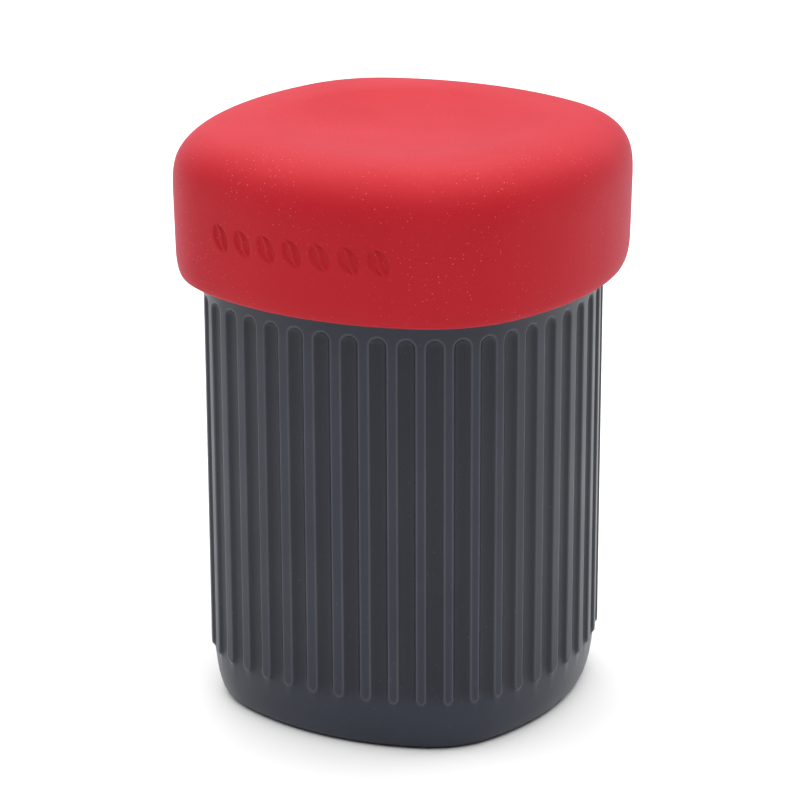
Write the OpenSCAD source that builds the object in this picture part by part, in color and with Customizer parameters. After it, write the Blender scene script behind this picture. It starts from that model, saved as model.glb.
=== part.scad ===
// Travel coffee press that packs inside its own fluted drinking mug, closed by a silicone lid.
// Frame: millimetres, +Z up, origin at the centre of the mug's base. The flats of the
// rounded-square plan face +X, -X, +Y and -Y, and -Y is the front.

/* [Plan] */
// Width of the mug across its flats, over the ribs
mug_w = 88; // [87:0.5:89]
// How much larger half the width is than the corner radius, the same for every wall
flat_to_corner = 18; // [17.4:0.6:18.6]

/* [Mug] */
// Height of the mug's rim
mug_h = 112; // [111:0.5:114]
// Wall of the mug, measured at a rib
mug_wall = 2.4; // [2:0.1:3]
// Thickness of the mug's floor
mug_floor = 4; // [3:0.5:5]
// Height over which the foot curves in
foot_h = 15; // [13:1:22]
// How far the foot curves in
foot_in = 3.2; // [2:0.2:7]

/* [Flutes] */
// Flutes on each side of the mug
flutes_per_side = 11; // [9:2:13]
// How much closer together the flutes are at the corners
flute_ease = 0.46; // [0:0.02:0.8]
// Width of a flute at the surface
flute_w = 4; // [3:0.1:4.4]
// Depth of a flute
flute_depth = 0.9; // [0.5:0.1:1.1]
// Height of the top of the flutes
flute_top = 100; // [90:1:102]
// Height of the lower ends of the ribs
rib_bottom = 12.6; // [11:0.2:16]

/* [Lid] */
// Width of the lid across its flats
lid_w = 100.8; // [100:0.2:102]
// Height of the lid's lower edge
lid_bottom = 104; // [102:0.5:105]
// Height of the crest of the lid
lid_top = 138; // [138:0.5:140]
// Wall of the lid
lid_wall = 2.8; // [2.4:0.1:3]
// Depth of the dish in the lid's top
dish_depth = 2.5; // [1.5:0.1:2.6]

/* [Press] */
// Bore radius of the brewing chamber
bore_r = 30.3; // [30.1:0.1:30.5]
// Wall of the brewing chamber
chamber_wall = 2.7; // [2.2:0.1:2.8]
// Outer radius of the plunger tube
plunger_r = 28.6; // [28:0.1:29]
// Wall of the plunger tube
plunger_wall = 2.2; // [2:0.1:2.4]
// Outer radius of the filter cap
cap_r = 36.5; // [36.3:0.1:37.5]
// Rings of drain holes round the cap's centre hole
hole_rings = 4; // [2:1:4]

/* [Hidden] */
$fn = 96;

// The plan is a rounded square of eight arcs. Its four side arcs and four corner arcs keep the
// same centres at every size, so walls stay parallel. The centres lie 36 and 15 apart on a
// 5-12-13 triangle, so neighbouring arcs meet smoothly on the line through both centres.
side_centre = flat_to_corner * 7 / 6;
corner_centre = flat_to_corner * 5 / 6;
side_turn = atan2(5, 12);
corner_turn = 45 - side_turn;
wedge_h = 200;
mug_half = mug_w / 2;
lid_half = lid_w / 2;
mug_in = mug_half - mug_wall;
function side_run(half) = (half + side_centre) * side_turn * PI / 180;
function corner_run(half) = (half - flat_to_corner) * corner_turn * PI / 180;
flute_pitch = 2 * (side_run(mug_half) + corner_run(mug_half)) / flutes_per_side;
flute_r = (pow(flute_w / 2, 2) + pow(flute_depth, 2)) / (2 * flute_depth);
core_half = mug_half - flute_depth;
sweep_in = flat_to_corner + 1;
core_r = 25;

// Lid section: a flared lower edge, then a drafted wall, then a crown
lid_draft = 0.3;
edge_in = 1.5;
edge_h = 5.5;
crown_in = 18;
crown_h = 13.3;
crown_power = 2.8;
lip_half = mug_half + 0.2;
lip_h = 5;
lip_slope = 2.5;
dish_r = 31;
dish_ball = (pow(dish_r, 2) + pow(dish_depth, 2)) / (2 * dish_depth);
roof_t = 2.8;
bean_count = 7;
bean_pitch = 6.2;
bean_z = 119.2;
bean_h = 7;
bean_w = 4.2;
bean_tilt = 25;
bean_depth = 0.5;
bean_seam = 0.8;

// Heights up the press, which hangs in the mug by the chamber's flange
flange_t = 3;
flange_half = mug_half - 0.1;
step_half = mug_in - 0.3;
step_w = 2.5;
step_h = 2.5;
gusset_t = 2;
gusset_h = 6;
chamber_r = bore_r + chamber_wall;
chamber_bottom = 12.8;
chamber_top = mug_h + flange_t;
lug_count = 4;
lug_turn = 30;
lug_r = chamber_r + 1.6;
lug_z = 14;
lug_t = 3;
cap_bottom = 10;
cap_floor = 2.5;
cap_top = 22;
cap_in = lug_r + 0.3;
cap_lug_z = lug_z + lug_t + 0.3;
cap_lug_in = chamber_r + 0.3;
cap_lug_t = 2.6;
grip_count = 24;
grip_r = 1.4;
drain_r = 1.3;
drain_pitch = 6;
paper_r = 31.9;
paper_t = 0.2;
paper_gap = 0.02;

plunger_floor_z = 24;
plunger_floor = 3;
rest_gap = 0.1;
plunger_top = chamber_top + rest_gap + flange_t;
plunger_half = 35.5;
boss_r = 20;
boss_head_r = 24;
boss_head_z = 17.2;
boss_head_t = 2.4;
seal_r = bore_r - 0.05;
seal_waist = bore_r - 0.7;
seal_bottom = 13.6;
seal_lip = 2.6;
seal_fit = 0.05;

scoop_bottom = plunger_floor_z + plunger_floor + rest_gap;
scoop_h = 33;
scoop_r_low = 19.5;
scoop_r_high = 23;
scoop_wall = 1.6;
handle_w = 12;
handle_t = 2.4;
handle_top = 114;
hang_r = 2;

stirrer_low = scoop_bottom + scoop_wall + rest_gap;
hinge_z = 109;
knuckle_r = 4;
knuckle_w = 12;
knuckle_mid = 4.8;
knuckle_gap = 0.2;
pin_r = 1.5;
pin_fit = 0.05;
pin_press = 0.02;
blade_t = 3.4;
blade_gap = 0.4;
blade_w = 14;

case_bottom = plunger_top + rest_gap;
case_r = 35.6;
case_wall = 1.8;
case_floor = 1.6;
case_top = 129;
case_ring_r = plunger_r - plunger_wall - 0.2;
case_ring_wall = 1.4;
case_ring_h = 2;
case_lid_r = 37;
case_lid_fit = 0.15;
case_lid_t = 1.6;
case_lid_skirt = 5;
spare_count = 12;
spare_pitch = 0.35;
spare_t = 0.25;

// Sweeps a section round the plan. The section's x is half the width across the flats there, and
// it starts at x = sweep_in. A cylinder of core_r fills the middle of a floor or a roof.
module sweep_plan() {
    seam = [corner_centre + 12 * corner_centre / 3, corner_centre + 5 * corner_centre / 3];
    for (turn = [0 : 90 : 270]) rotate(turn) {
        intersection() {
            translate([-side_centre, 0, 0])
                rotate_extrude() translate([side_centre, 0]) children();
            translate([0, 0, -1]) linear_extrude(height = wedge_h)
                polygon([[-side_centre, 0], [seam[0], -seam[1]], seam]);
        }
        intersection() {
            translate([corner_centre, corner_centre, 0])
                rotate_extrude() translate([-flat_to_corner, 0]) children();
            translate([0, 0, -1]) linear_extrude(height = wedge_h)
                polygon([[corner_centre, corner_centre], seam, [seam[0], seam[0]], [seam[1], seam[0]]]);
        }
    }
}

// Puts children on the outline of the given half width, run millimetres from the middle of a
// side, with their +X facing out.
module on_outline(run, half) {
    over = max(0, abs(run) - side_run(half));
    hand = run < 0 ? -1 : 1;
    if (over == 0)
        translate([-side_centre, 0, 0])
            rotate(run / (half + side_centre) * 180 / PI)
                translate([half + side_centre, 0, 0]) children();
    else
        translate([corner_centre, hand * corner_centre, 0])
            rotate(hand * (side_turn + over / (half - flat_to_corner) * 180 / PI))
                translate([half - flat_to_corner, 0, 0]) children();
}

module ring(r_out, r_in, h) {
    difference() {
        cylinder(r = r_out, h = h);
        translate([0, 0, -1]) cylinder(r = r_in, h = h + 2);
    }
}

// A wedge of a ring, turn degrees wide and centred on +X
module ring_wedge(r_out, r_in, h, turn) {
    rotate(-turn / 2) rotate_extrude(angle = turn) translate([r_in, 0]) square([r_out - r_in, h]);
}

// Quarter of an ellipse or squarer curve from (x, z - high) in to (x - wide, z)
function crown(x, z, wide, high, power, steps) =
    [for (i = [0 : steps]) let (t = 90 * i / steps)
        [x - wide * (1 - pow(cos(t), 2 / power)), z - high * (1 - pow(sin(t), 2 / power))]];

// The same curve turned over, from (x - wide, z) out to (x, z + high), or part of the way
function heel(x, z, wide, high, steps, turn = 90) =
    [for (i = [0 : steps]) let (t = turn * i / steps)
        [x - wide * (1 - sin(t)), z + high * (1 - cos(t))]];

// Where a flute lies, count pitches from the middle of a side. The last one is on the corner.
function flute_run(count) = count * flute_pitch + flute_ease * sin(360 * count / flutes_per_side);

module flute_cutter() {
    cutter_z = rib_bottom - 6;
    translate([flute_r - flute_depth, 0, cutter_z])
        cylinder(r = flute_r, h = flute_top - flute_w / 2 - cutter_z);
    translate([flute_r - flute_depth, 0, flute_top - flute_w / 2]) sphere(r = flute_r);
}

module mug_shell() {
    rim = 0.8;
    rib_foot = 1.2;
    inside = heel(mug_in, mug_floor, foot_in, foot_h - mug_floor, 6);
    sweep_plan() polygon(concat([[sweep_in, 0]],
        heel(core_half, 0, foot_in, foot_h, 5, acos(1 - rib_bottom / foot_h)),
        [[mug_half, rib_bottom + rib_foot], [mug_half, mug_h - rim], [mug_half - rim, mug_h],
         [mug_in, mug_h]],
        [for (i = [6 : -1 : 0]) inside[i]], [[sweep_in, mug_floor]]));
    cylinder(r = core_r, h = mug_floor);
}

module mug() {
    foot_recess = 1;
    color([0.17, 0.175, 0.19]) difference() {
        mug_shell();
        for (turn = [0 : 90 : 270], i = [0 : flutes_per_side - 1])
            rotate(turn) on_outline(flute_run(i - flutes_per_side / 2 + 1), mug_half) flute_cutter();
        translate([0, 0, -1]) cylinder(r = mug_half - 12, h = foot_recess + 1);
    }
}

module lid_shell() {
    in_half = lid_half - lid_wall;
    wall_half = lid_half - lid_draft;
    roof = lid_top - dish_depth - roof_t;
    vault = crown(in_half, roof, crown_in - lid_wall, crown_h - 1, crown_power, 7);
    sweep_plan() polygon(concat([[sweep_in, roof]], [for (i = [7 : -1 : 0]) vault[i]],
        [[in_half, lid_bottom + lip_h + lip_slope], [lip_half, lid_bottom + lip_h],
         [lip_half, lid_bottom]],
        heel(wall_half, lid_bottom, edge_in, edge_h, 4),
        crown(lid_half, lid_top, crown_in, crown_h, crown_power, 9), [[sweep_in, lid_top]]));
    translate([0, 0, roof]) cylinder(r = core_r, h = lid_top - roof);
}

// A bean lying in the YZ plane, its seam left standing: the mark pressed into the lid's front.
module bean() {
    bow = (pow(bean_h, 2) + pow(bean_w, 2)) / (4 * bean_w);
    rotate([90, 0, 90]) rotate(bean_tilt) linear_extrude(height = 2) difference() {
        intersection() {
            translate([bow - bean_w / 2, 0]) circle(r = bow);
            translate([bean_w / 2 - bow, 0]) circle(r = bow);
        }
        translate([-bean_seam / 2, -bean_h]) square([bean_seam, 2 * bean_h]);
    }
}

module lid() {
    color([0.78, 0.13, 0.15]) difference() {
        lid_shell();
        translate([0, 0, lid_top - dish_depth + dish_ball]) sphere(r = dish_ball, $fn = 200);
        rotate(-90) for (i = [0 : bean_count - 1])
            on_outline((i - (bean_count - 1) / 2) * bean_pitch, lid_half)
                translate([-bean_depth, 0, bean_z]) bean();
    }
}

module brew_chamber() {
    color([0.42, 0.43, 0.45, 0.6]) difference() {
        union() {
            translate([0, 0, chamber_bottom]) cylinder(r = chamber_r, h = chamber_top - chamber_bottom);
            sweep_plan() polygon([[sweep_in, mug_h], [flange_half, mug_h],
                [flange_half, chamber_top - 1], [flange_half - 1, chamber_top], [sweep_in, chamber_top]]);
            sweep_plan() translate([step_half - step_w, mug_h - step_h]) square([step_w, step_h + 1]);
            for (turn = [0 : 45 : 315]) rotate(turn)
                translate([chamber_r - 1, -gusset_t / 2, mug_h - gusset_h])
                    cube([step_half - step_w / 2 - chamber_r + 1, gusset_t, gusset_h + 1]);
            for (i = [0 : lug_count - 1]) rotate(i * 360 / lug_count) {
                translate([0, 0, lug_z]) ring_wedge(lug_r, bore_r + 1, lug_t, lug_turn);
                rotate(-lug_turn / 2 - 2) translate([0, 0, lug_z])
                    ring_wedge(lug_r, bore_r + 1, cap_lug_z + cap_lug_t - lug_z, 3);
            }
        }
        translate([0, 0, chamber_bottom - 1]) cylinder(r = bore_r, h = chamber_top - chamber_bottom + 2);
    }
}

module drain_holes() {
    for (ring_no = [0 : hole_rings], i = [0 : max(0, 6 * ring_no - 1)])
        rotate(ring_no == 0 ? 0 : i * 60 / ring_no) translate([ring_no * drain_pitch, 0, cap_bottom - 1])
            cylinder(r = drain_r, h = cap_floor + 2, $fn = 24);
}

module filter_cap() {
    color([0.09, 0.09, 0.1]) {
        difference() {
            translate([0, 0, cap_bottom]) cylinder(r = cap_r, h = cap_top - cap_bottom);
            translate([0, 0, cap_bottom + cap_floor]) cylinder(r = cap_in, h = cap_top);
            drain_holes();
            for (i = [0 : grip_count - 1]) rotate((i + 0.5) * 360 / grip_count)
                translate([cap_r + grip_r * 0.5, 0, cap_bottom + cap_floor])
                    cylinder(r = grip_r, h = cap_top, $fn = 24);
        }
        for (i = [0 : lug_count - 1]) rotate(i * 360 / lug_count)
            translate([0, 0, cap_lug_z]) ring_wedge(cap_in + 0.3, cap_lug_in, cap_lug_t, lug_turn - 4);
    }
}

module filter_paper() {
    color([0.93, 0.91, 0.86]) translate([0, 0, cap_bottom + cap_floor + paper_gap])
        cylinder(r = paper_r, h = paper_t);
}

module plunger() {
    tube_in = plunger_r - plunger_wall;
    color([0.4, 0.41, 0.43, 0.6]) difference() {
        union() {
            translate([0, 0, plunger_floor_z]) cylinder(r = plunger_r, h = plunger_top - plunger_floor_z);
            translate([0, 0, boss_head_z]) cylinder(r = boss_head_r, h = boss_head_t);
            translate([0, 0, boss_head_z]) cylinder(r = boss_r, h = plunger_floor_z - boss_head_z + 1);
            sweep_plan() polygon([[sweep_in, plunger_top - flange_t],
                [plunger_half - 0.6, plunger_top - flange_t], [plunger_half, plunger_top - flange_t + 0.6],
                [plunger_half, plunger_top - 0.6], [plunger_half - 0.6, plunger_top],
                [sweep_in, plunger_top]]);
        }
        translate([0, 0, plunger_floor_z + plunger_floor]) cylinder(r = tube_in, h = plunger_top);
    }
}

module plunger_seal() {
    seal_top = plunger_floor_z;
    color([0.11, 0.11, 0.12]) rotate_extrude() polygon([[0, seal_bottom], [seal_r - 2, seal_bottom],
        [seal_r, seal_bottom + 1.2], [seal_r, seal_bottom + seal_lip], [seal_waist, seal_bottom + seal_lip + 1],
        [seal_waist, seal_top - seal_lip - 1], [seal_r, seal_top - seal_lip + 0.6], [seal_r, seal_top - 0.6],
        [seal_r - 1, seal_top], [boss_r + seal_fit, seal_top],
        [boss_r + seal_fit, boss_head_z + boss_head_t + seal_fit],
        [boss_head_r + seal_fit, boss_head_z + boss_head_t + seal_fit],
        [boss_head_r + seal_fit, boss_head_z - seal_fit], [0, boss_head_z - seal_fit]]);
}

module scoop() {
    handle_low = scoop_bottom + scoop_h - 12;
    handle_round = handle_top - handle_w / 2;
    handle_x = -scoop_r_high - handle_t / 2;
    color([0.12, 0.12, 0.13]) {
        difference() {
            union() {
                translate([0, 0, scoop_bottom])
                    cylinder(r1 = scoop_r_low, r2 = scoop_r_high, h = scoop_h);
                translate([handle_x, -handle_w / 2, handle_low])
                    cube([handle_t, handle_w, handle_round - handle_low]);
                translate([handle_x, -handle_w / 2, scoop_bottom + scoop_h - 5])
                    cube([handle_t + 3, handle_w, 5]);
                translate([handle_x, 0, handle_round]) rotate([0, 90, 0])
                    cylinder(r = handle_w / 2, h = handle_t);
            }
            translate([0, 0, scoop_bottom + scoop_wall])
                cylinder(r1 = scoop_r_low - scoop_wall, r2 = scoop_r_high - scoop_wall + 0.05,
                    h = scoop_h - scoop_wall + 0.5);
            translate([handle_x - 1, 0, handle_round]) rotate([0, 90, 0])
                cylinder(r = hang_r, h = handle_t + 2);
        }
    }
}

// A barrel along Y on the hinge axis, from y0 to y1
module knuckle(y0, y1, r) {
    translate([0, y1, hinge_z]) rotate([90, 0, 0]) cylinder(r = r, h = y1 - y0);
}

module stirrer_handle() {
    color([0.12, 0.12, 0.13]) difference() {
        union() {
            knuckle(-knuckle_mid / 2, knuckle_mid / 2, knuckle_r);
            translate([-blade_gap - blade_t, -knuckle_mid / 2, hinge_z - knuckle_r - 4])
                cube([blade_t, knuckle_mid, knuckle_r + 4]);
            translate([-blade_gap - blade_t, -knuckle_w / 2, stirrer_low + 6])
                cube([blade_t, knuckle_w, hinge_z - knuckle_r - 3 - stirrer_low - 6]);
            translate([-blade_gap - blade_t, 0, stirrer_low + 6]) rotate([0, 90, 0])
                cylinder(r = knuckle_w / 2, h = blade_t);
        }
        knuckle(-knuckle_w, knuckle_w, pin_r - pin_press);
    }
}

module stirrer_paddle() {
    wing = (knuckle_w - knuckle_mid) / 2 - knuckle_gap;
    color([0.12, 0.12, 0.13]) difference() {
        union() {
            for (hand = [-1, 1]) {
                y0 = hand < 0 ? -knuckle_w / 2 : knuckle_w / 2 - wing;
                knuckle(y0, y0 + wing, knuckle_r);
                translate([blade_gap, y0, hinge_z - knuckle_r - 4]) cube([blade_t, wing, knuckle_r + 4]);
            }
            translate([blade_gap, -knuckle_w / 2, stirrer_low + 24])
                cube([blade_t, knuckle_w, hinge_z - knuckle_r - 3 - stirrer_low - 24]);
            translate([blade_gap, -blade_w / 2, stirrer_low + 3]) cube([blade_t, blade_w, 24]);
            translate([blade_gap, 0, stirrer_low + blade_w / 2]) rotate([0, 90, 0])
                cylinder(r = blade_w / 2, h = blade_t);
        }
        knuckle(-knuckle_w, knuckle_w, pin_r + pin_fit);
    }
}

module stirrer_pin() {
    color([0.75, 0.76, 0.78]) knuckle(-knuckle_w / 2, knuckle_w / 2, pin_r);
}

module filter_case() {
    color([0.14, 0.14, 0.15]) {
        difference() {
            translate([0, 0, case_bottom]) cylinder(r = case_r, h = case_top - case_bottom);
            translate([0, 0, case_bottom + case_floor]) cylinder(r = case_r - case_wall, h = case_top);
        }
        translate([0, 0, case_bottom - case_ring_h])
            ring(case_ring_r, case_ring_r - case_ring_wall, case_ring_h + 0.5);
    }
}

module spare_filters() {
    color([0.93, 0.91, 0.86]) for (i = [0 : spare_count - 1])
        translate([0, 0, case_bottom + case_floor + 0.05 + i * spare_pitch])
            cylinder(r = paper_r, h = spare_t);
}

module filter_case_lid() {
    color([0.14, 0.14, 0.15]) difference() {
        translate([0, 0, case_top - case_lid_skirt])
            cylinder(r = case_lid_r, h = case_lid_skirt + case_lid_t + 0.05);
        translate([0, 0, case_top - case_lid_skirt - 1])
            cylinder(r = case_r + case_lid_fit, h = case_lid_skirt + 1.05);
    }
}

mug();
lid();
brew_chamber();
filter_cap();
filter_paper();
plunger();
plunger_seal();
scoop();
stirrer_handle();
stirrer_paddle();
stirrer_pin();
filter_case();
spare_filters();
filter_case_lid();
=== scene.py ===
"""A travel coffee press packed inside its own fluted drinking mug, under a silicone lid."""

import logging
import math
from dataclasses import dataclass, field
from enum import Enum
from typing import Iterable, Optional, Sequence, Union

import bmesh
import bpy
from mathutils import Matrix, Quaternion, Vector


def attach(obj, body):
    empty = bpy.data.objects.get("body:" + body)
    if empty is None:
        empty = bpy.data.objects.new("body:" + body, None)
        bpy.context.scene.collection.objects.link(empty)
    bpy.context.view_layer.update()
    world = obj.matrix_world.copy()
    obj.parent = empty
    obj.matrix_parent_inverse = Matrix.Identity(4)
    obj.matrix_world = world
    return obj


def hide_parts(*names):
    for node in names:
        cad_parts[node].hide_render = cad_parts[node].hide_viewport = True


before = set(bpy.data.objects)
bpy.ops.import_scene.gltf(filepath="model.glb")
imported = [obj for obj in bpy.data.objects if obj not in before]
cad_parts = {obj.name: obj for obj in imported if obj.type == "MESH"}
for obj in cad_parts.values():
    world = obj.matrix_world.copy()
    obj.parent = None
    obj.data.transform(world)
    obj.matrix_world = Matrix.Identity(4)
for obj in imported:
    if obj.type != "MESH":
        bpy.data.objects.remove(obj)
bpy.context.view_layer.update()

log = logging.getLogger("press")
MM = 0.001
WELD = 1e-4
Socket = bpy.types.NodeSocket
Point = tuple[float, float]
Colour = tuple[float, float, float]


def soft_step(value: float, low: float, high: float) -> float:
    """Rises smoothly from 0 at low to 1 at high.

    Args:
        value: The number to place.
        low: Where the rise starts.
        high: Where the rise ends.

    Returns:
        A share between 0 and 1.
    """
    share = min(1.0, max(0.0, (value - low) / (high - low)))
    return share * share * (3 - 2 * share)


def bow(start: Point, end: Point, squareness: float, steps: int, flat_first: bool) -> list[Point]:
    """A quarter of an ellipse, or of a squarer curve, between two points of an outline.

    Args:
        start: First point, as (half width, height) in millimetres.
        end: Last point.
        squareness: 2 for an ellipse, more for a fuller shoulder.
        steps: Number of straight pieces.
        flat_first: True if the curve leaves its first point level, False if upright.

    Returns:
        The points, both ends included.
    """
    points = []
    for i in range(steps + 1):
        turn = math.pi / 2 * i / steps
        slow, fast = 1 - math.cos(turn) ** (2 / squareness), math.sin(turn) ** (2 / squareness)
        along, up = (fast, slow) if flat_first else (slow, fast)
        points.append((start[0] + (end[0] - start[0]) * along, start[1] + (end[1] - start[1]) * up))
    return points


# ---------------------------------------------------------------- the plan


@dataclass(frozen=True)
class Plan:
    """The rounded square that the mug, the lid and the flanges share, from arcs of two radii."""

    half: float = 44.0
    side_centre: float = 21.0
    corner_centre: float = 15.0
    corner_less: float = 18.0

    @property
    def side_turn(self) -> float:
        """Half the angle of a side's arc."""
        return math.atan2(5, 12)

    @property
    def side_run(self) -> float:
        """Length of half a side's arc."""
        return (self.half + self.side_centre) * self.side_turn

    @property
    def half_run(self) -> float:
        """Length from the middle of a side to the middle of a corner."""
        corner = (self.half - self.corner_less) * (math.pi / 4 - self.side_turn)
        return self.side_run + corner

    def place(self, half: float, run: float, height: float, blend: Point) -> Vector:
        """Finds a point on an outline that is parallel to the plan.

        Args:
            half: Half the width across the flats of that outline.
            run: Distance round the plan from the middle of the +X side.
            height: Height above the base.
            blend: Half widths between which the outline turns from a circle into the plan.

        Returns:
            The point, in millimetres.
        """
        side = math.floor((run + self.half_run) / (2 * self.half_run))
        local = run - side * 2 * self.half_run
        hand = -1 if local < 0 else 1
        centre, bend = self.corner_centre, half - self.corner_less
        if abs(local) <= self.side_run:
            turn = local / (self.half + self.side_centre)
            reach = half + self.side_centre
            flat = Vector((reach * math.cos(turn) - self.side_centre, reach * math.sin(turn), 0))
        else:
            turn = self.side_turn + (abs(local) - self.side_run) / (self.half - self.corner_less)
            flat = Vector((centre + bend * math.cos(turn), hand * (centre + bend * math.sin(turn)), 0))
        level = soft_step(half, *blend)
        if level < 1:
            guide = self.place(self.half, local, 0, (-2.0, -1.0))
            ring = guide.normalized() * half
            flat = ring.lerp(flat, level) if level > 0 else ring
        for _ in range(side % 4):
            flat = Vector((-flat.y, flat.x, 0))
        flat.z = height
        return flat


PLAN = Plan()


# ---------------------------------------------------------------- mesh making


class Blank:
    """A piece on the bench: a bmesh in millimetres, and the operators that shape it."""

    def __init__(self) -> None:
        """Starts empty."""
        self.bm = bmesh.new()

    def outline(
        self, points: Sequence[Point], closed: bool, rounds: Sequence[tuple[int, float]] = ()
    ) -> None:
        """Draws a section in the XZ plane and rounds some of its corners.

        Args:
            points: The corners, as (half width, height).
            closed: True if the last point joins the first.
            rounds: Pairs of a corner's index and its radius.
        """
        verts = [self.bm.verts.new((x, 0, z)) for x, z in points]
        pairs = list(zip(verts, verts[1:] + verts[:1] if closed else verts[1:]))
        for pair in pairs:
            self.bm.edges.new(pair)
        for index, radius in rounds:
            bmesh.ops.bevel(
                self.bm, geom=[verts[index]], offset=radius, offset_type="OFFSET",
                segments=3, profile=0.5, affect="VERTICES", material=-1,
            )

    def cut_levels(self, heights: Iterable[float], low: float = 0) -> None:
        """Adds points to the section at these heights.

        Args:
            heights: Heights of the cuts.
            low: Only edges further out than this are cut.
        """
        for height in heights:
            edges = [e for e in self.bm.edges if min(v.co.x for v in e.verts) > low]
            verts = list({v for e in edges for v in e.verts})
            bmesh.ops.bisect_plane(
                self.bm, geom=verts + edges, plane_co=(0, 0, height), plane_no=(0, 0, 1), dist=WELD
            )

    def turn(self, steps: int, angle: float = math.tau) -> None:
        """Spins the section round the Z axis.

        Args:
            steps: Number of steps.
            angle: How far it turns; a full turn closes on itself.
        """
        full = abs(angle - math.tau) < 1e-6
        bmesh.ops.spin(
            self.bm, geom=list(self.bm.verts) + list(self.bm.edges) + list(self.bm.faces),
            cent=(0, 0, 0), axis=(0, 0, 1), angle=angle, steps=steps, use_merge=full,
        )
        bmesh.ops.remove_doubles(self.bm, verts=self.bm.verts, dist=WELD)
        bmesh.ops.recalc_face_normals(self.bm, faces=self.bm.faces)

    @staticmethod
    def column_of(vert: bmesh.types.BMVert, count: int) -> int:
        """Number of the column that a point of a turned piece stands in."""
        return round(math.atan2(vert.co.y, vert.co.x) / math.tau * count) % count

    @staticmethod
    def sink(vert: bmesh.types.BMVert, depth: float) -> None:
        """Moves a point of a turned piece towards the axis."""
        half = math.hypot(vert.co.x, vert.co.y)
        sunk = (half - depth) / half
        vert.co.x *= sunk
        vert.co.y *= sunk

    def wrap(self, runs: Sequence[float], blend: Point) -> None:
        """Moves a turned piece's columns of points onto the plan.

        Args:
            runs: Distance round the plan for each column.
            blend: Half widths between which a circle turns into the plan.
        """
        count = len(runs)
        for vert in self.bm.verts:
            half = math.hypot(vert.co.x, vert.co.y)
            if half > 1e-3:
                column = self.column_of(vert, count)
                vert.co = PLAN.place(half, runs[column], vert.co.z, blend)

    def add(self, other: "Blank") -> None:
        """Takes in another blank's shape as a separate island."""
        spare = bpy.data.meshes.new("spare")
        other.bm.to_mesh(spare)
        self.bm.from_mesh(spare)
        bpy.data.meshes.remove(spare)
        other.bm.free()

    def move(self, matrix: Matrix) -> None:
        """Moves the whole blank."""
        bmesh.ops.transform(self.bm, matrix=matrix, verts=self.bm.verts)

    def to_object(self, name: str, sharp: float) -> bpy.types.Object:
        """Makes the finished object, scaled to metres, with its place in its mesh.

        Args:
            name: The object's name.
            sharp: Angle in degrees over which an edge stays sharp.

        Returns:
            The object.
        """
        bmesh.ops.scale(self.bm, vec=(MM, MM, MM), verts=self.bm.verts)
        self.bm.normal_update()
        for face in self.bm.faces:
            face.smooth = True
        for edge in self.bm.edges:
            edge.smooth = len(edge.link_faces) == 2 and edge.calc_face_angle(0) < math.radians(sharp)
        mesh = bpy.data.meshes.new(name)
        self.bm.to_mesh(mesh)
        self.bm.free()
        piece = bpy.data.objects.new(name, mesh)
        bpy.context.scene.collection.objects.link(piece)
        return piece


def copied_node(node: str, bevel: float) -> Blank:
    """A merged copy of a CAD node, for its edges to be softened.

    Args:
        node: The node's name.
        bevel: Radius of the softened edges in millimetres.

    Returns:
        The blank.
    """
    blank = Blank()
    blank.bm.from_mesh(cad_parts[node].data)
    bmesh.ops.scale(blank.bm, vec=(1 / MM,) * 3, verts=blank.bm.verts)
    bmesh.ops.remove_doubles(blank.bm, verts=blank.bm.verts, dist=0.004)
    bmesh.ops.dissolve_limit(
        blank.bm, angle_limit=math.radians(0.5), verts=blank.bm.verts, edges=blank.bm.edges
    )
    corners = [
        e for e in blank.bm.edges
        if len(e.link_faces) == 2 and e.calc_face_angle(0) > math.radians(50) and e.is_convex
    ]
    bmesh.ops.bevel(
        blank.bm, geom=corners, offset=bevel, offset_type="OFFSET", segments=2, profile=0.5,
        affect="EDGES", material=-1, clamp_overlap=True,
    )
    return blank


def even_runs(count: int) -> list[float]:
    """Columns spaced evenly round the plan."""
    return [8 * PLAN.half_run * i / count for i in range(count)]


# ---------------------------------------------------------------- finishes


class Effect(Enum):
    """Surface effects that several finishes share."""

    DUST = "Fine dust"
    MOTTLE = "Mottle"
    GRAIN = "Moulded grain"
    SCUFF = "Handling scuffs"


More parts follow.
